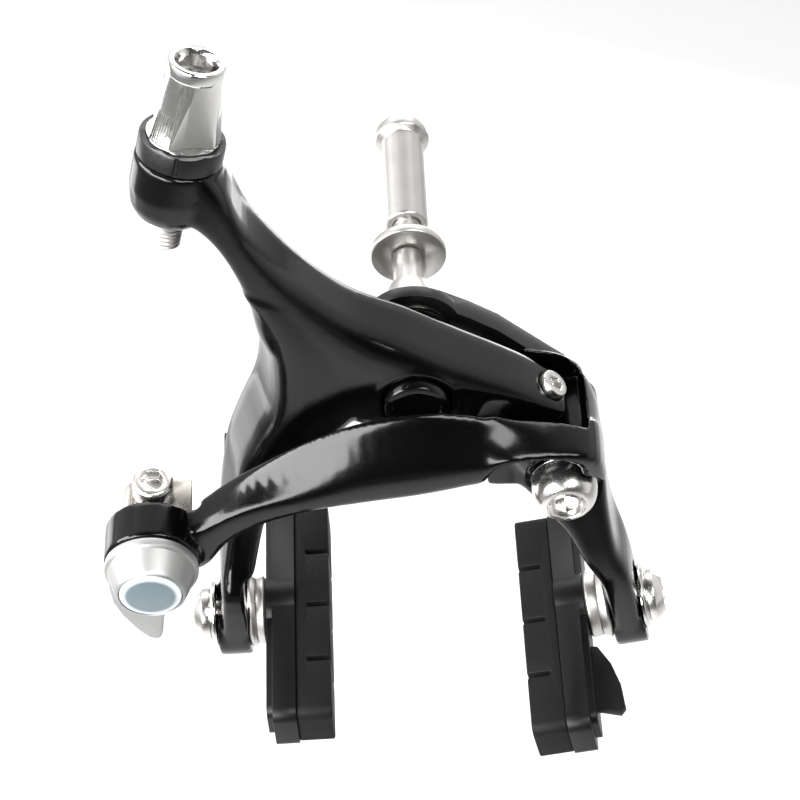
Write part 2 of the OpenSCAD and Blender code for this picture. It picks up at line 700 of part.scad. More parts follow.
module anchor_plate() {
    thick = 1.3;
    deep = anchor_front - anchor_back - 0.4;
    color(silver) on_anchor() difference() {
        translate([-3.9, -deep / 2, block_top]) cube([10.9, deep, thick]);
        cylinder(d = anchor_bolt_d + 2 * run_gap, h = 20, $fn = 48);
        translate([5.3, 0, block_top]) rotate([90, 0, 0])
            cylinder(d = cable_d, h = 20, center = true, $fn = 32);
    }
}

module anchor_bolt() {
    head_d = 7.4;
    head_h = 4.4;
    key = 4;
    seat = block_top + 1.3;
    color(silver) on_anchor() difference() {
        union() {
            translate([0, 0, qr_shaft_d / 2 + 0.3])
                cylinder(d = anchor_bolt_d, h = seat - qr_shaft_d / 2, $fn = 48);
            translate([0, 0, seat]) rotate_extrude($fn = 64) polygon([
                [0, 0], [head_d / 2, 0], [head_d / 2, head_h - 0.5], [head_d / 2 - 0.5, head_h],
                [0, head_h]]);
        }
        translate([0, 0, seat + head_h - 2.4]) cylinder(d = key / cos(30), h = 4, $fn = 6);
    }
}

// ---- Brake shoes ----

// A side's pieces are placed from the wheel outwards, along its shoe bolt
blocks = 4;
holder_ridge = 1.2;

// Outline of a shoe, seen along its bolt: local X is up, local Y is along the rim
module shoe_outline(l, h, r) {
    for (sx = [-1, 1], sy = [-1, 1])
        translate([sx * (h / 2 - r), sy * (l / 2 - r)]) circle(r = r, $fn = 48);
    square([h, l - 2 * r], center = true);
    square([h - 2 * r, l], center = true);
}

function holder_out(shoe) = -shoe[5] - holder_t;

module rubber_block(shoe) {
    step = shoe_l / blocks;
    color(rubber_black) on_shoe_bolt(shoe, holder_out(shoe) - rubber_t)
        translate([0, -shoe[6], 0]) difference() {
            linear_extrude(rubber_t) shoe_outline(shoe_l, shoe_h, 2);
            for (k = [1 : blocks - 1])
                translate([-shoe_h, -shoe_l / 2 + k * step - groove_w / 2, -1])
                    cube([2 * shoe_h, groove_w, groove_depth + 1]);
        }
}

module shoe_holder(shoe) {
    color(black) on_shoe_bolt(shoe, holder_out(shoe)) difference() {
        union() {
            translate([0, -shoe[6], 0]) {
                linear_extrude(holder_t - holder_ridge) shoe_outline(shoe_l + 0.8, shoe_h + 0.8, 2.4);
                linear_extrude(holder_t) shoe_outline(shoe_l - 3, shoe_h - 2, 2);
            }
            cylinder(d = dish_d - 1, h = holder_t, $fn = 64);
        }
        translate([0, 0, 1]) cylinder(d = shoe_bolt_d + 2 * run_gap, h = holder_t, $fn = 48);
    }
}

// Guide fin on the outside of the right holder, towards the front
module guide_fin() {
    thick = 1.6;
    out = holder_t;
    color(black) on_shoe_bolt(right_shoe, holder_out(right_shoe)) translate([0, -right_set, 0])
        rotate([0, -90, 0]) linear_extrude(thick, center = true) polygon([
            [2, -4], [out + 1.2, -5.4], [out + 3.4, -9.6], [out + 4.8, -14.6],
            [out + 5.2, -19.6], [out + 4.2, -20.8], [2, -18]]);
}

module left_rubber_block() { rubber_block(left_shoe); }
module right_rubber_block() { rubber_block(right_shoe); }
module left_shoe_holder() { shoe_holder(left_shoe); }
module right_shoe_holder() {
    shoe_holder(right_shoe);
    guide_fin();
}

// A convex and a concave washer between holder and leg
module dished_washers(shoe) {
    thick = shoe[5] - 0.02;
    cup = thick * 0.45;
    hole = shoe_bolt_d / 2 + run_gap;
    rim = dish_d / 2;
    color("#b9b9b9") on_shoe_bolt(shoe, -shoe[5]) rotate_extrude($fn = 72) {
        polygon([[hole, 0], [rim - 1, 0], [rim - 0.2, 0.5], [rim - 0.6, thick - cup],
            [hole + 1, thick - cup + 0.3], [hole, thick - cup + 0.3]]);
        polygon([[hole, thick - cup + 0.4], [hole + 1, thick - cup + 0.4],
            [rim - 0.6, thick - cup + 0.1], [rim, thick - 0.5], [rim - 0.4, thick], [hole, thick]]);
    }
}
module left_dished_washers() { dished_washers(left_shoe); }
module right_dished_washers() { dished_washers(right_shoe); }

outer_washer_t = 1.3;
module outer_washer(shoe) {
    hole = shoe_bolt_d / 2 + run_gap;
    rim = dish_d / 2 - 0.6;
    color(silver) on_shoe_bolt(shoe, leg_t + 0.02) rotate_extrude($fn = 72)
        polygon([[hole, 0], [rim, 0], [rim, 0.6], [rim - 1.4, outer_washer_t], [hole, outer_washer_t]]);
}
module left_outer_washer() { outer_washer(left_shoe); }
module right_outer_washer() { outer_washer(right_shoe); }

// Socket head outside the leg, shank through the slot into the holder
module shoe_bolt(shoe) {
    head_r = 4.9;
    head_h = 3;
    key = 4;
    start = holder_out(shoe) + 1.2;
    seat = leg_t + 0.02 + outer_washer_t;
    color(silver) on_shoe_bolt(shoe, start) difference() {
        rotate_extrude($fn = 72) polygon([
            [0, 0], [shoe_bolt_d / 2, 0], [shoe_bolt_d / 2, seat - start], [head_r, seat - start],
            [head_r, seat - start + head_h - 1.6], [head_r - 1.6, seat - start + head_h],
            [0, seat - start + head_h]]);
        translate([0, 0, seat - start + head_h - 2]) cylinder(d = key / cos(30), h = 3, $fn = 6);
    }
}
module left_shoe_bolt() { shoe_bolt(left_shoe); }
module right_shoe_bolt() { shoe_bolt(right_shoe); }

bridge();
mounting_bolt();
hub_washer();
cap_washer();
cap_nut();
side_pivot_stud();
side_pivot_washers();
side_dome_nut();
return_spring();
spring_guide();
fixing_washer();
sleeve_nut();
y_arm();
centering_screw();
y_arm_slider();
adjuster_stem();
adjuster_collar();
adjuster_barrel();
c_arm();
quick_release_shaft();
quick_release_lever();
quick_release_cap();
shaft_clip();
anchor_block();
anchor_plate();
anchor_bolt();
left_shoe_holder();
left_rubber_block();
left_dished_washers();
left_shoe_bolt();
left_outer_washer();
right_shoe_holder();
right_rubber_block();
right_dished_washers();
right_shoe_bolt();
right_outer_washer();
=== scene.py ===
# Looks for a dual-pivot rim brake caliper, seen from the front and above.
import json
import math

import bpy
from mathutils import Matrix, Vector
from mathutils.bvhtree import BVHTree


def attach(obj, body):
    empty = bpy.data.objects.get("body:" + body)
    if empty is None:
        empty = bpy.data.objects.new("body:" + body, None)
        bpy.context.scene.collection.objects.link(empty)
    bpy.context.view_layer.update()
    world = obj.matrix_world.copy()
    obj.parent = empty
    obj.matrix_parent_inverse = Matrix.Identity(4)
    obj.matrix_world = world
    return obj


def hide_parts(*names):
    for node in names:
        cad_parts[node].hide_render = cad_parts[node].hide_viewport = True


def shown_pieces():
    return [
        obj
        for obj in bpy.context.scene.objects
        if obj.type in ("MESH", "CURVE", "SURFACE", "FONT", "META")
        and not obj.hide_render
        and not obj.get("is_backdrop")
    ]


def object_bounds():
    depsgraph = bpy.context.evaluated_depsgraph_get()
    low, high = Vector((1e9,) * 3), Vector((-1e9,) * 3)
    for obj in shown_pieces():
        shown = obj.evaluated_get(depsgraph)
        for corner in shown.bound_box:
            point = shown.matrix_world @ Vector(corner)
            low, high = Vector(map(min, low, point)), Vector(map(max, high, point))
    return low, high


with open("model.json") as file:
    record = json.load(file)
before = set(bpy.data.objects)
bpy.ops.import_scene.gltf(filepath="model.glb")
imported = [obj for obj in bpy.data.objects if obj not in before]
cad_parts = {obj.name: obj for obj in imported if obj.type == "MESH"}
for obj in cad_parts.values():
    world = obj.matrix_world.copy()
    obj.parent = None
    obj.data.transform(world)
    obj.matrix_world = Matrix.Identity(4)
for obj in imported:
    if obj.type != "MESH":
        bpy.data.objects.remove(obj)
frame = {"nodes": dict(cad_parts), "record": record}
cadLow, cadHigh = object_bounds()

mm = 0.001
nodes = frame["nodes"]
studio = bpy.context.scene
studio.view_settings.view_transform = "Standard"

# ---------- camera ----------
print("camera")
camera = {
    "lens": 111.035, "sensorWidth": 36.0,
    "distance": 0.45, "azimuth": 0.4519, "elevation": 49.0616, "roll": 2.2177,
    "aim": (-0.00283, -0.017576, -0.010283), "shiftX": 0.0, "shiftY": 0.0,
}
frameWidth, frameHeight = 800, 800
longSide = max(frameWidth, frameHeight)


def cameraAxes(azimuth, elevation, roll):
    a, e, r = math.radians(azimuth), math.radians(elevation), math.radians(roll)
    ahead = Vector((math.sin(a) * math.cos(e), math.cos(a) * math.cos(e), -math.sin(e)))
    level = Vector((math.cos(a), -math.sin(a), 0))
    upright = level.cross(ahead)
    across = level * math.cos(r) - upright * math.sin(r)
    upward = level * math.sin(r) + upright * math.cos(r)
    return Matrix((across, upward, -ahead)).transposed()


photoCamera = bpy.data.objects.new("photoCamera", bpy.data.cameras.new("photoCamera"))
studio.collection.objects.link(photoCamera)
studio.camera = photoCamera
photoCamera.data.sensor_fit = "AUTO"
photoCamera.data.sensor_width = camera["sensorWidth"]
photoCamera.data.lens = camera["lens"]
photoCamera.data.shift_x, photoCamera.data.shift_y = camera["shiftX"], camera["shiftY"]
photoCamera.data.clip_start, photoCamera.data.clip_end = 0.01, 20
lookTurn = cameraAxes(camera["azimuth"], camera["elevation"], camera["roll"])
lookFrom = Vector(camera["aim"]) + lookTurn.col[2] * camera["distance"]
photoCamera.matrix_world = Matrix.Translation(lookFrom) @ lookTurn.to_4x4()

# where things are in the photograph, in its own frame
imagePoints = {
    "left": (103, None), "right": (668, None), "top": (None, 45), "bottom": (None, 755),
    "adjusterBarrel": (187, 98), "collarNotch": (177, 161), "sleeveNut": (402, 172),
    "fixingWasher": (409, 252), "centringScrew": (552, 386), "capNut": (416, 402),
    "anchorBolt": (154, 483), "domeNut": (566, 488), "quickReleaseCap": (153, 595),
    "leftShoeBolt": (205, 612), "rightShoeBolt": (652, 597),
}


def imageRay(point):
    across = point[0] - frameWidth / 2 + camera["shiftX"] * longSide
    upward = frameHeight / 2 - point[1] + camera["shiftY"] * longSide
    deep = -longSide * camera["lens"] / camera["sensorWidth"]
    return (lookTurn @ Vector((across, upward, deep))).normalized()


def imagePlace(place):
    local = lookTurn.transposed() @ (place - lookFrom)
    scale = longSide * camera["lens"] / camera["sensorWidth"] / -local.z
    return (local.x * scale + frameWidth / 2 - camera["shiftX"] * longSide,
            frameHeight / 2 - local.y * scale + camera["shiftY"] * longSide)


# the place on a carrier's surface that an image point shows, or the nearest to the point's ray
def placeOn(carrier, point):
    tree = BVHTree.FromPolygons([v.co for v in carrier.data.vertices],
                                [list(p.vertices) for p in carrier.data.polygons])
    ahead = imageRay(point)
    spot = tree.ray_cast(lookFrom, ahead)[0]
    if spot is None:
        near = min((v.co for v in carrier.data.vertices),
                   key=lambda co: ((co - lookFrom) - ahead * (co - lookFrom).dot(ahead)).length)
        spot = tree.find_nearest(near)[0]
    return spot


# ---------- how a piece is made ----------
def only(piece):
    bpy.ops.object.select_all(action="DESELECT")
    piece.select_set(True)
    bpy.context.view_layer.objects.active = piece
    return piece


def withModifier(piece, kind, **settings):
    only(piece)
    modifier = piece.modifiers.new(kind.lower(), kind)
    for key, value in settings.items():
        setattr(modifier, key, value)
    bpy.ops.object.modifier_apply(modifier=modifier.name)
    return piece


# smooth shading across edges that turn by less than an angle in degrees
def smoothed(piece, angle):
    only(piece)
    bpy.ops.object.shade_smooth_by_angle(angle=math.radians(angle))
    return piece


def brokenEdges(piece, width, segments=2, angle=30):
    withModifier(piece, "BEVEL", width=width * mm, segments=segments, limit_method="ANGLE",
                 angle_limit=math.radians(angle), miter_outer="MITER_ARC")
    return smoothed(piece, 38)


def putInPlace(piece, place):
    piece.data.transform(place)
    piece.data.update()
    return piece


# local Z points to the front, from a face y in front of the frame
def facing(x, z, y):
    return Matrix(((1, 0, 0, x * mm), (0, 0, -1, -y * mm), (0, 1, 0, z * mm), (0, 0, 0, 1)))


def leaning(x, y, z, aboutY=0, aboutX=0):
    return (Matrix.Translation((x * mm, y * mm, z * mm))
            @ Matrix.Rotation(math.radians(aboutY), 4, "Y")
            @ Matrix.Rotation(math.radians(aboutX), 4, "X"))


def along(place, up, turn=0):
    return (place @ Matrix.Rotation(math.radians(turn), 4, "Z")
            @ Matrix.Translation((0, 0, up * mm)))


# a turned piece: a disc drawn out and sized again at each step of its profile
def turned(name, profile, place, sides=96):
    radius, height = profile[0]
    bpy.ops.object.select_all(action="DESELECT")
    bpy.ops.mesh.primitive_circle_add(vertices=sides, radius=radius * mm, fill_type="NGON",
                                      location=(0, 0, height * mm))
    piece = bpy.context.object
    piece.name = name
    bpy.ops.object.transform_apply(location=True, rotation=True, scale=True)
    bpy.ops.object.mode_set(mode="EDIT")
    bpy.ops.mesh.select_all(action="SELECT")
    for nextRadius, nextHeight in profile[1:]:
        bpy.ops.mesh.extrude_region_move(
            TRANSFORM_OT_translate={"value": (0, 0, (nextHeight - height) * mm)})
        bpy.ops.transform.resize(value=(nextRadius / radius, nextRadius / radius, 1),
                                 center_override=(0, 0, nextHeight * mm))
        radius, height = nextRadius, nextHeight
    bpy.ops.mesh.select_all(action="SELECT")
    bpy.ops.mesh.normals_make_consistent(inside=False)
    bpy.ops.object.mode_set(mode="OBJECT")
    return putInPlace(piece, place)


def cut(piece, tool, operation="DIFFERENCE"):
    withModifier(piece, "BOOLEAN", object=tool, operation=operation, solver="EXACT")
    bpy.data.objects.remove(tool)
    return piece


def prism(sides, radius, low, high, place, topRadius=None):
    bpy.ops.object.select_all(action="DESELECT")
    bpy.ops.mesh.primitive_cone_add(
        vertices=sides, radius1=radius * mm, radius2=(topRadius or radius) * mm,
        depth=(high - low) * mm, location=(0, 0, (low + high) / 2 * mm))
    bpy.ops.object.transform_apply(location=True, rotation=True, scale=True)
    return putInPlace(bpy.context.object, place)


# the corner radius of a hexagon for a key of a given width
def hexRadius(key):
    return key / math.cos(math.radians(30)) / 2


threadGroove = {"crest": 0.12, "root": (0.5, 0.62)}   # as shares of the pitch


# V grooves of a thread, as profile steps from one height to another
def threadSteps(radius, low, high, pitch, deep=0.5):
    count = int((high - low) / pitch)
    root = radius - deep * pitch
    steps = []
    for k in range(count):
        z = low + k * pitch
        steps += [(radius, z), (radius, z + threadGroove["crest"] * pitch)]
        steps += [(root, z + share * pitch) for share in threadGroove["root"]]
    return steps + [(radius, low + count * pitch)]


# a loose copy of a CAD node, with its triangles joined into whole faces where they meet within
# an angle in degrees
def nodeCopy(node, name, flatten=0.8):
    piece = bpy.data.objects.new(name, nodes[node].data.copy())
    studio.collection.objects.link(piece)
    only(piece)
    bpy.ops.object.mode_set(mode="EDIT")
    bpy.ops.mesh.select_all(action="SELECT")
    bpy.ops.mesh.remove_doubles(threshold=2e-6)
    if flatten:
        bpy.ops.mesh.dissolve_limited(angle_limit=math.radians(flatten))
    bpy.ops.object.mode_set(mode="OBJECT")
    return piece


bodyOf = {node: body for body, names in frame["record"]["behaviour"]["bodies"].items()
          for node in names}
made = {}


# a finished piece takes the place of a CAD node, with its slot and on its body
def standsFor(piece, node, finishName):
    piece.data.materials.clear()
    piece.data.materials.append(finishes[finishName])
    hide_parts(node)
    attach(piece, bodyOf[node])
    made[node] = piece
    return piece


# ---------- finishes ----------
print("finishes")


def linear(hexColour):
    parts = [int(hexColour[i:i + 2], 16) / 255 for i in (1, 3, 5)]
    return (*[p / 12.92 if p <= 0.04045 else ((p + 0.055) / 1.055) ** 2.4 for p in parts], 1.0)


def addNode(tree, kind, settings=None, links=None):
    node = tree.nodes.new(kind)
    for key, value in (settings or {}).items():
        if isinstance(key, str) and hasattr(node, key):
            setattr(node, key, value)
        else:
            node.inputs[key].default_value = value
    for key, source in (links or {}).items():
        tree.links.new(source, node.inputs[key])
    return node


# the quick release's axis, x and z in millimetres
eye = (-48.7, -23)

# Each finish: two near shades that drift into each other over cloudMm, a roughness that wanders
# between two values over grainMm, and a relief of depthMm, which has a size of its own where
# reliefMm is given. Lengths are in millimetres, turns in degrees.
looks = {
    # gloss enamel sprayed on forged aluminium: near black, with wet highlights and a faint
    # orange peel
    "forgedArmEnamel": {
        "shades": ("#020202", "#040404"), "roughness": (0.13, 0.19), "cloudMm": 14,
        "grainMm": 0.5, "reliefMm": 2.2, "depthMm": 0.0022, "specular": 0.33},
    # the same enamel on the pressed bridge plate, thinner and so duller, over a blasted surface
    "bridgePlateEnamel": {
        "shades": ("#08080a", "#0e0e0f"), "roughness": (0.26, 0.36), "cloudMm": 9,
        "grainMm": 0.35, "depthMm": 0.006},
    # chrome plated washers: mirror bright, with hairline scratches from keys
    "chromePlatedSteel": {
        "shades": ("#d9d8d6", "#cdccca"), "roughness": (0.06, 0.14), "cloudMm": 3,
        "grainMm": 0.6, "reliefMm": 0.18, "depthMm": 0.0009, "metallic": 1.0},
    # polished aluminium of the adjuster barrel, with polishing streaks that run along it
    "polishedBarrelAluminium": {
        "shades": ("#e3e2e0", "#d6d5d3"), "roughness": (0.10, 0.2), "cloudMm": 4,
        "grainMm": 0.35, "depthMm": 0.0012, "metallic": 1.0, "stretch": (1, 1, 0.08),
        "turn": (9.7, -14.3, 0)},
    # anodised, bead-blasted aluminium of the quick release: pale even grey, a fine sparkle
    "anodisedLeverAluminium": {
        "shades": ("#b2b2b1", "#a8a8a7"), "roughness": (0.44, 0.54), "cloudMm": 6,
        "grainMm": 0.16, "depthMm": 0.003, "metallic": 1.0},
    # turned stainless steel of the bolt, its sleeve nut and washer: rings from the lathe,
    # coarser than the real 0.05 mm so that they show
    "turnedStainlessSteel": {
        "shades": ("#c9c7c4", "#bab8b5"), "roughness": (0.3, 0.38), "cloudMm": 5,
        "grainMm": 0.3, "depthMm": 0.0006, "metallic": 1.0, "stretch": (0.12, 1, 0.12)},
    # zinc plated steel of the small hardware: grey, faintly warm, a little mottled
    "zincPlatedSteel": {
        "shades": ("#b9b5ae", "#97938c"), "roughness": (0.22, 0.4), "cloudMm": 1.2,
        "grainMm": 0.3, "depthMm": 0.0015, "metallic": 1.0},
    # dull nickel of the dished washers and the adjuster's stem: light grey, hardly a reflection
    "dullNickelPlate": {
        "shades": ("#d0cecb", "#c0bebb"), "roughness": (0.36, 0.5), "cloudMm": 2,
        "grainMm": 0.2, "depthMm": 0.002, "metallic": 1.0},
    # bright nickel plate of the dome nut and the screw heads: white, with a soft, broad shine
    "brightNickelPlate": {
        "shades": ("#dedcd9", "#cfcdca"), "roughness": (0.2, 0.3), "cloudMm": 2.5,
        "grainMm": 0.25, "depthMm": 0.0012, "metallic": 1.0},
    # moulded brake rubber: dull charcoal with an open grain
    "mouldedPadRubber": {
        "shades": ("#090808", "#0e0d0d"), "roughness": (0.52, 0.74), "cloudMm": 5,
        "grainMm": 0.4, "depthMm": 0.012, "specular": 0.2},
    # black glass-filled nylon of the pad's carrier: satin, with a spark-eroded mould texture
    "carrierNylon": {
        "shades": ("#070707", "#0b0a0a"), "roughness": (0.36, 0.48), "cloudMm": 8,
        "grainMm": 0.25, "depthMm": 0.007, "specular": 0.25},
    # soft black elastomer of the adjuster's collar: smooth, half gloss
    "collarElastomer": {
        "shades": ("#08080a", "#0e0e10"), "roughness": (0.26, 0.36), "cloudMm": 4,
        "grainMm": 0.6, "depthMm": 0.004},
    # blue-grey resin cap of the quick release under a clear skin, its rim lightened by a painted
    # highlight
    "pivotCapResin": {
        "shades": ("#44555e", "#4d5f67"), "roughness": (0.14, 0.2), "cloudMm": 7,
        "grainMm": 1.5, "coat": (1.0, 0.03), "highlightAxis": eye, "highlightRimMm": (4.1, 5.3),
        "highlightColour": "#cfd8dc"},
    # the floor
    "mattPaper": {
        "shades": ("#d0d0d0", "#cdcdcd"), "roughness": (0.85, 0.95), "cloudMm": 60,
        "grainMm": 2},
}


# painted highlight: the colour turns paler with the distance from an axis that runs front to back
def paintRimHighlight(tree, spot, shade, look):
    axisX, axisZ = look["highlightAxis"]
    fromAxis = addNode(tree, "ShaderNodeVectorMath",
                       {"operation": "SUBTRACT", 1: (axisX * mm, 0, axisZ * mm)},
                       {0: spot.outputs["Object"]})
    flattened = addNode(tree, "ShaderNodeVectorMath", {"operation": "MULTIPLY", 1: (1, 0, 1)},
                        {0: fromAxis.outputs["Vector"]})
    outward = addNode(tree, "ShaderNodeVectorMath", {"operation": "LENGTH"},
                      {0: flattened.outputs["Vector"]})
    rimHighlight = addNode(tree, "ShaderNodeMapRange",
                  {"interpolation_type": "SMOOTHSTEP", "From Min": look["highlightRimMm"][0] * mm,
                   "From Max": look["highlightRimMm"][1] * mm}, {"Value": outward.outputs["Value"]})
    return addNode(tree, "ShaderNodeMix", {"data_type": "RGBA", 7: linear(look["highlightColour"])},
                   {"Factor": rimHighlight.outputs["Result"], 6: shade.outputs[2]})


def makeFinish(name, look):
    finish = bpy.data.materials.new(name)
    finish.use_nodes = True
    tree = finish.node_tree
    tree.nodes.clear()
    shader = addNode(tree, "ShaderNodeBsdfPrincipled",
                     {"Metallic": look.get("metallic", 0.0),
                      "Specular IOR Level": look.get("specular", 0.5)})
    addNode(tree, "ShaderNodeOutputMaterial", links={"Surface": shader.outputs["BSDF"]})
    spot = addNode(tree, "ShaderNodeTexCoord")
    turn = [math.radians(angle) for angle in look.get("turn", (0, 0, 0))]
    laid = addNode(tree, "ShaderNodeMapping",
                   {"Rotation": turn, "Scale": look.get("stretch", (1, 1, 1))},
                   {"Vector": spot.outputs["Object"]})
    cloud = addNode(tree, "ShaderNodeTexNoise", {"Scale": 1000 / look["cloudMm"], "Detail": 2.0},
                    {"Vector": spot.outputs["Object"]})
    shade = addNode(tree, "ShaderNodeMix",
                    {"data_type": "RGBA", 6: linear(look["shades"][0]),
                     7: linear(look["shades"][1])}, {"Factor": cloud.outputs["Fac"]})
    grain = addNode(tree, "ShaderNodeTexNoise", {"Scale": 1000 / look["grainMm"], "Detail": 3.0},
                    {"Vector": laid.outputs["Vector"]})
    worn = addNode(tree, "ShaderNodeMapRange",
                   {"From Min": 0.3, "From Max": 0.7, "To Min": look["roughness"][0],
                    "To Max": look["roughness"][1]}, {"Value": grain.outputs["Fac"]})
    tree.links.new(worn.outputs["Result"], shader.inputs["Roughness"])
    # the paler rim is a painted highlight laid over the resin's colour
    if "highlightRimMm" in look:
        shade = paintRimHighlight(tree, spot, shade, look)
    tree.links.new(shade.outputs[2], shader.inputs["Base Color"])
    relief = grain
    if "reliefMm" in look:
        relief = addNode(tree, "ShaderNodeTexNoise",
                         {"Scale": 1000 / look["reliefMm"], "Detail": 1.0},
                         {"Vector": laid.outputs["Vector"]})
    if "depthMm" in look:
        bump = addNode(tree, "ShaderNodeBump",
                       {"Strength": 1.0, "Distance": look["depthMm"] * mm},
                       {"Height": relief.outputs["Fac"]})
        tree.links.new(bump.outputs["Normal"], shader.inputs["Normal"])
    if "coat" in look:
        shader.inputs["Coat Weight"].default_value = look["coat"][0]
        shader.inputs["Coat Roughness"].default_value = look["coat"][1]
    return finish


finishes = {name: makeFinish(name, look) for name, look in looks.items()}

# ---------- forged arms ----------
print("forged arms")
forging = {"voxelMm": 0.42, "smoothFactor": 0.5, "smoothSteps": 9}


# the solid is remeshed fine and eased, so that its creases turn into forged radii
def forged(node, name):
    piece = nodeCopy(node, name, 0)
    withModifier(piece, "REMESH", mode="VOXEL", voxel_size=forging["voxelMm"] * mm)
    withModifier(piece, "SMOOTH", factor=forging["smoothFactor"],
                 iterations=forging["smoothSteps"])
    only(piece)
    bpy.ops.object.shade_smooth()
    return standsFor(piece, node, "forgedArmEnamel")


forged("y_arm", "upperArmForging")
forged("c_arm", "bandArmForging")

# ---------- cable adjuster ----------
print("cable adjuster")
cableLine = leaning(-39, -14.5, 44, 14.3, -9.7)
barrel = {
    "base": 7.5, "sides": 144,
    "profile": [(5.9, 0), (6.18, 0.3), (6.2, 2.6), (4.6, 14.1), (4.8, 14.5), (4.8, 15.9),
                (4.7, 16.3), (4.45, 16.5)],
    "bore": [(3.05, -1), (3.05, 7.2), (1.2, 7.3), (1.2, 7.5), (2.7, 7.5), (2.7, 13.2),
             (3.3, 13.4), (3.3, 15.7), (3.6, 16.2), (4.0, 16.8)],
    # three arched flats: how far they are turned, their own radius, how far out they lie
    "flats": (-74, 46, 166), "flatRadius": 30, "flatOut": 4.7, "flatLow": 2.3,
    "flatHigh": 14.3, "flatSides": 720,
    # grip ribs on the round strips that are left between the flats
    "ribs": 8, "ribTurns": (-17, 17), "ribOut": 6.22, "ribLow": 2.5, "ribHigh": 8.0,
    "ribTilt": -8, "ribCut": 0.24, "ribSides": 6,
    "edge": 0.18, "edgeAngle": 24,
}
barrelPlace = along(cableLine, barrel["base"])
barrelPiece = turned("adjusterBarrel", barrel["profile"], barrelPlace, barrel["sides"])
cut(barrelPiece, turned("boreTool", barrel["bore"], barrelPlace))
firstRib, lastRib = barrel["ribTurns"]
for flat in barrel["flats"]:
    for k in range(barrel["ribs"]):
        ribTurn = flat + 60 + firstRib + (lastRib - firstRib) * k / (barrel["ribs"] - 1)
        side = (along(barrelPlace, 0, ribTurn)
                @ Matrix.Translation((barrel["ribOut"] * mm, 0, barrel["ribLow"] * mm))
                @ Matrix.Rotation(math.radians(barrel["ribTilt"]), 4, "Y"))
        cut(barrelPiece, prism(barrel["ribSides"], barrel["ribCut"], 0,
                               barrel["ribHigh"] - barrel["ribLow"], side))
for flat in barrel["flats"]:
    side = (along(barrelPlace, 0, flat)
            @ Matrix.Translation(((barrel["flatRadius"] + barrel["flatOut"]) * mm, 0, 0)))
    cut(barrelPiece, prism(barrel["flatSides"], barrel["flatRadius"], barrel["flatLow"],
                           barrel["flatHigh"], side))
brokenEdges(barrelPiece, barrel["edge"], 2, barrel["edgeAngle"])
standsFor(barrelPiece, "adjuster_barrel", "polishedBarrelAluminium")

collar = {
    "base": 5.5, "sides": 120,
    "profile": [(7.0, 0.05), (7.3, 0.35), (7.3, 3.5), (7.05, 4.15), (6.7, 4.38)],
    "bore": [(3.25, -1), (3.25, 1.9), (6.3, 1.9), (6.3, 5)],
    # saddles in the rim, each the side of a wide cylinder that lies across it
    "lobes": 6, "lobeTurn": 30, "lobeRadius": 16, "lobeLow": 3.75, "lobeFrom": 3, "lobeTo": 10,
    "lobeSides": 128,
    # a notch in the side, round the image point that it has
    "notchOut": 7.3, "notchRadius": 0.4, "notchLow": -0.5, "notchHigh": 5, "notchSides": 24,
    "edge": 0.14, "edgeAngle": 28,
}
collarPlace = along(cableLine, collar["base"])
collarPiece = turned("adjusterCollar", collar["profile"], collarPlace, collar["sides"])
cut(collarPiece, turned("boreTool", collar["bore"], collarPlace))
for k in range(collar["lobes"]):
    lobe = along(collarPlace, collar["lobeLow"] + collar["lobeRadius"],
                 collar["lobeTurn"] + 360 * k / collar["lobes"])
    cut(collarPiece, prism(collar["lobeSides"], collar["lobeRadius"], collar["lobeFrom"],
                           collar["lobeTo"], lobe @ Matrix.Rotation(math.pi / 2, 4, "Y")))
notchSpot = placeOn(collarPiece, imagePoints["collarNotch"])
notchLocal = collarPlace.inverted() @ notchSpot
notchAngle = math.degrees(math.atan2(notchLocal.y, notchLocal.x))
notchLine = (along(collarPlace, 0, notchAngle)
             @ Matrix.Translation((collar["notchOut"] * mm, 0, 0)))
cut(collarPiece, prism(collar["notchSides"], collar["notchRadius"], collar["notchLow"],
                       collar["notchHigh"], notchLine))
brokenEdges(collarPiece, collar["edge"], 2, collar["edgeAngle"])
standsFor(collarPiece, "adjuster_collar", "collarElastomer")

stem = {
    "low": -12.4, "threadLow": -11.8, "threadHigh": 14.0, "high": 14.65, "tip": 2.3,
    "radius": 2.98, "top": 2.9, "pitch": 0.8, "deep": 0.3, "bore": 1.0, "sides": 64,
    "boreSides": 48,
}
stemProfile = ([(stem["tip"], stem["low"])]
               + threadSteps(stem["radius"], stem["threadLow"], stem["threadHigh"],
                             stem["pitch"], stem["deep"])
               + [(stem["top"], stem["high"])])
stemPiece = turned("adjusterStem", stemProfile, cableLine, stem["sides"])
cut(stemPiece, prism(stem["boreSides"], stem["bore"], stem["low"] - 1, stem["high"] + 1,
                     cableLine))
standsFor(smoothed(stemPiece, 25), "adjuster_stem", "dullNickelPlate")

# ---------- centre bolt and its nut ----------
print("centre bolt")
boltLine = facing(0, 0, 0)
bolt = {
    # from the thread's end behind, past neck and shank, to the seat and the front end
    "profile": [(2.1, -26), (2.67, -25.4)] + threadSteps(2.67, -25.3, -9.5, 1.0)
    + [(2.3, -9.0), (2.3, -8.5), (3.0, -8.2), (3.0, 0), (4.1, 0.02), (4.9, 3.4), (4.9, 4.2),
       (4.0, 4.22), (4.0, 27.8)],
}
boltPiece = turned("mountingBolt", bolt["profile"], boltLine)
standsFor(smoothed(boltPiece, 20), "mounting_bolt", "turnedStainlessSteel")

capNut = {
    "profile": [(4.1, 25.5), (5.75, 25.52), (5.75, 28.45), (5.55, 28.8), (5.15, 28.96),
                (4.4, 29.0), (4.2, 28.75), (3.2, 28.7)],
    "bore": 4.05, "boreLow": 20, "boreHigh": 27.85, "boreSides": 64,
}
capPiece = turned("centreCapNut", capNut["profile"], boltLine)
cut(capPiece, prism(capNut["boreSides"], capNut["bore"], capNut["boreLow"],
                    capNut["boreHigh"], boltLine))
standsFor(smoothed(capPiece, 30), "cap_nut", "forgedArmEnamel")

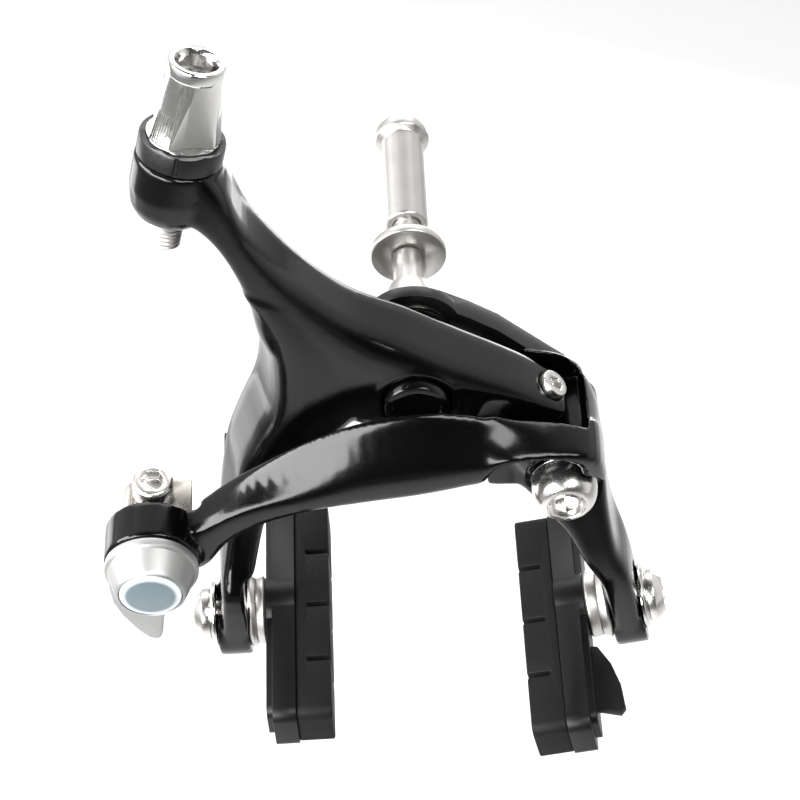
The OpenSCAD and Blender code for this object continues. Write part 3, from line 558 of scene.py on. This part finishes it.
# ---------- dome nut and quick release ----------
print("dome nut and quick release")
domeNut = {
    "place": (26.3, -19.5),
    "foot": [(5.5, 30.4), (5.9, 30.42), (5.99, 30.52)],
    # the dome is a quarter of an ellipse from the skirt to the flat front
    "radius": 6.0, "skirt": 31.95, "frontRadius": 3.75, "domeTop": 36.7, "arcSteps": 14,
    # a groove round the flat front, and the countersink of the key socket
    "face": [(3.55, 36.76), (3.4, 36.6), (3.2, 36.56), (3.05, 36.7), (2.95, 36.78),
             (2.85, 36.75), (2.3, 36.15)],
    "key": 4, "keyLow": 34.2, "keyHigh": 38,
    "bore": 3.52, "boreLow": 29, "boreHigh": 33.8, "boreSides": 64,
}
domeLine = facing(*domeNut["place"], 0)
domeSpread = domeNut["radius"] - domeNut["frontRadius"]
domeRise = domeNut["domeTop"] - domeNut["skirt"]
domeTurns = [math.pi / 2 * k / domeNut["arcSteps"] for k in range(domeNut["arcSteps"] + 1)]
domeArc = [(domeNut["frontRadius"] + domeSpread * math.cos(turn),
            domeNut["skirt"] + domeRise * math.sin(turn)) for turn in domeTurns]
domePiece = turned("sideDomeNut", domeNut["foot"] + domeArc + domeNut["face"], domeLine)
cut(domePiece, prism(6, hexRadius(domeNut["key"]), domeNut["keyLow"], domeNut["keyHigh"],
                     domeLine))
cut(domePiece, prism(domeNut["boreSides"], domeNut["bore"], domeNut["boreLow"],
                     domeNut["boreHigh"], domeLine))
standsFor(smoothed(domePiece, 32), "side_dome_nut", "brightNickelPlate")


# a flat piece: a disc whose corners are moved to an outline, drawn out from one height to another
def plate(name, outline, low, high, place):
    bpy.ops.object.select_all(action="DESELECT")
    bpy.ops.mesh.primitive_circle_add(vertices=len(outline), radius=mm, fill_type="NGON",
                                      location=(0, 0, 0))
    piece = bpy.context.object
    piece.name = name
    for vertex, (x, y) in zip(piece.data.vertices, outline):
        vertex.co = (x * mm, y * mm, low * mm)
    bpy.ops.object.mode_set(mode="EDIT")
    bpy.ops.mesh.select_all(action="SELECT")
    bpy.ops.mesh.extrude_region_move(TRANSFORM_OT_translate={"value": (0, 0, (high - low) * mm)})
    bpy.ops.mesh.select_all(action="SELECT")
    bpy.ops.mesh.normals_make_consistent(inside=False)
    bpy.ops.object.mode_set(mode="OBJECT")
    return putInPlace(piece, place)


lever = {
    "disc": [(6.0, 43.17), (8.1, 43.2), (8.42, 43.4), (8.48, 43.7), (8.48, 44.5), (8.38, 44.85),
             (8.1, 45.1), (7.9, 45.2), (6.55, 49.0), (6.3, 49.6), (6.1, 49.85), (5.85, 49.95),
             (5.75, 49.85), (5.7, 49.05)],
    "blade": [(-7.5, 1), (-7.8, -2), (-7.6, -6), (-6.3, -10.2), (-4, -14.7), (-2.3, -17.0),
              (-1.2, -17.7), (-0.3, -17.75), (0.3, -17.2), (0.7, -15.6), (1.0, -13), (1.5, -10.6),
              (2.8, -8.6), (5.4, -6.4)],
    "bladeBack": 43.75, "bladeFront": 46.95, "bladeEdge": 0.9, "edgeAngle": 50,
    "bore": 3.05, "boreLow": 42, "boreHigh": 48, "boreSides": 48,
}
eyeLine = facing(*eye, 0)
leverPiece = turned("quickReleaseLever", lever["disc"], eyeLine)
bladePiece = plate("leverBlade", lever["blade"], lever["bladeBack"], lever["bladeFront"], eyeLine)
brokenEdges(bladePiece, lever["bladeEdge"], 4, lever["edgeAngle"])
cut(leverPiece, bladePiece, "UNION")
cut(leverPiece, prism(lever["boreSides"], lever["bore"], lever["boreLow"], lever["boreHigh"],
                      eyeLine))
standsFor(smoothed(leverPiece, 32), "quick_release_lever", "anodisedLeverAluminium")

pivotCap = {
    "profile": [(5.2, 49.02), (5.57, 49.1), (5.58, 49.75), (5.45, 49.98), (5.15, 50.1),
                (4.6, 50.2), (3.4, 50.31), (2, 50.37), (0.6, 50.4)],
}
pivotCapPiece = turned("quickReleaseCap", pivotCap["profile"], eyeLine)
standsFor(smoothed(pivotCapPiece, 40), "quick_release_cap", "pivotCapResin")

# ---------- pieces that keep their solid's shape, with worked edges ----------
print("small parts")
worked = {
    # node: finish, edge in millimetres
    "bridge": ("bridgePlateEnamel", 0.7), "hub_washer": ("zincPlatedSteel", 0.12),
    "cap_washer": ("zincPlatedSteel", 0.12), "side_pivot_stud": ("zincPlatedSteel", 0.2),
    "side_pivot_washers": ("chromePlatedSteel", 0.1), "spring_guide": ("carrierNylon", 0.3),
    "fixing_washer": ("turnedStainlessSteel", 0.14),
    "sleeve_nut": ("turnedStainlessSteel", 0.2),
    "centering_screw": ("brightNickelPlate", 0.22), "y_arm_slider": ("carrierNylon", 0.3),
    "quick_release_shaft": ("zincPlatedSteel", 0.2), "shaft_clip": ("zincPlatedSteel", 0.1),
    "anchor_block": ("zincPlatedSteel", 0.3), "anchor_plate": ("zincPlatedSteel", 0.25),
    "anchor_bolt": ("brightNickelPlate", 0.22),
}
shoeParts = {
    "shoe_holder": ("carrierNylon", 0.6), "rubber_block": ("mouldedPadRubber", 0.3),
    "dished_washers": ("dullNickelPlate", 0.12), "shoe_bolt": ("brightNickelPlate", 0.25),
    "outer_washer": ("chromePlatedSteel", 0.12),
}
for side in ("left", "right"):
    for part, finishAndEdge in shoeParts.items():
        worked[side + "_" + part] = finishAndEdge
for node, (finishName, edge) in worked.items():
    standsFor(brokenEdges(nodeCopy(node, node + "Worked"), edge), node, finishName)

springPiece = nodeCopy("return_spring", "returnSpringWire", 0)
withModifier(springPiece, "SUBSURF", levels=1, render_levels=1)
only(springPiece)
bpy.ops.object.shade_smooth()
standsFor(springPiece, "return_spring", "zincPlatedSteel")

pointPieces = {
    "adjusterBarrel": "adjuster_barrel", "sleeveNut": "sleeve_nut",
    "fixingWasher": "fixing_washer", "centringScrew": "centering_screw", "capNut": "cap_nut",
    "anchorBolt": "anchor_bolt", "domeNut": "side_dome_nut",
    "quickReleaseCap": "quick_release_cap", "leftShoeBolt": "left_shoe_bolt",
    "rightShoeBolt": "right_shoe_bolt",
}

# ---------- floor and light ----------
print("floor and light")
paper = {"drop": 0.5, "size": 8.0}   # metres, the drop below the lowest point of the object
bpy.ops.object.select_all(action="DESELECT")
bpy.ops.mesh.primitive_plane_add(size=paper["size"],
                                 location=(0, 0, cadLow.z - paper["drop"]))
floor = bpy.context.object
floor.name = "paperFloor"
floor.data.materials.append(finishes["mattPaper"])
floor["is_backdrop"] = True

# a pale room, darker above and behind the camera: it fades between two cosines to darkSide
room = {"pale": 1.0, "dark": 0.05, "edge": (0.15, 0.7), "darkSide": (0.0, -0.62, 0.78)}
world = bpy.data.worlds.new("paleRoom")
studio.world = world
world.use_nodes = True
air = world.node_tree
backdrop = air.nodes["Background"]
way = addNode(air, "ShaderNodeTexCoord")
toward = addNode(air, "ShaderNodeVectorMath", {"operation": "DOT_PRODUCT", 1: room["darkSide"]},
                 {0: way.outputs["Generated"]})
fade = addNode(air, "ShaderNodeMapRange",
               {"interpolation_type": "SMOOTHSTEP", "From Min": room["edge"][0],
                "From Max": room["edge"][1], "To Min": room["pale"], "To Max": room["dark"]},
               {"Value": toward.outputs["Value"]})
backdrop.inputs["Color"].default_value = linear("#ffffff")
air.links.new(fade.outputs["Result"], backdrop.inputs["Strength"])

# soft lights that all face the object
softboxes = {
    # name: degrees round from the front to the right, degrees up, distance, width, height, watts
    "leftFront": (-64, 30, 0.85, 1.5, 0.48, 36.0),
    "leftLow": (-123, -24, 0.85, 0.4, 0.3, 1.1),
    "top": (40, 58, 0.9, 0.6, 0.35, 7.0),
    "rightLow": (157, -18, 0.85, 0.3, 0.45, 2.2),
    "farBack": (180, 30, 3.4, 4.0, 1.6, 50.0),
}
for name, (around, up, distance, width, tall, watts) in softboxes.items():
    light = bpy.data.lights.new(name, "AREA")
    light.shape = "RECTANGLE"
    light.size, light.size_y = width, tall
    light.energy = watts
    lamp = bpy.data.objects.new(name, light)
    studio.collection.objects.link(lamp)
    turn, rise = math.radians(around), math.radians(up)
    toLamp = Vector((math.sin(turn) * math.cos(rise), -math.cos(turn) * math.cos(rise),
                     math.sin(rise)))
    lamp.location = toLamp * distance
    lamp.rotation_euler = (-toLamp).to_track_quat("-Z", "Y").to_euler()

# ---------- what the script says about itself ----------
print("size and points")
bpy.context.view_layer.update()
shown = bpy.context.evaluated_depsgraph_get()
seenWithin = 0.4 * mm
edgeTries = 4000


def isSeen(place):
    ahead = (place - lookFrom).normalized()
    hit, spot = studio.ray_cast(shown, lookFrom, ahead)[:2]
    return hit and (spot - place).length < seenWithin


# how far out in the image the finished vertices show, on one side
def edgeShown(axis, sign):
    places = []
    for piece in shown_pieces():
        for vertex in piece.data.vertices:
            places.append((sign * imagePlace(vertex.co)[axis], vertex.co))
    places.sort(key=lambda entry: entry[0])
    for value, place in places[:edgeTries]:
        if isSeen(place):
            return sign * value
    return sign * places[0][0]


# the middle of what shows of a piece
def middleShown(piece):
    spots = [imagePlace(v.co) for v in piece.data.vertices if isSeen(v.co)]
    if not spots:
        return None
    return [(min(s[k] for s in spots) + max(s[k] for s in spots)) / 2 for k in (0, 1)]


misses = {
    "left": [edgeShown(0, 1) - imagePoints["left"][0], 0],
    "right": [edgeShown(0, -1) - imagePoints["right"][0], 0],
    "top": [0, edgeShown(1, 1) - imagePoints["top"][1]],
    "bottom": [0, edgeShown(1, -1) - imagePoints["bottom"][1]],
}
for name, node in pointPieces.items():
    middle = middleShown(made[node])
    misses[name] = [middle[k] - imagePoints[name][k] for k in (0, 1)] if middle else None
misses["collarNotch"] = [imagePlace(notchSpot)[k] - imagePoints["collarNotch"][k]
                         for k in (0, 1)]
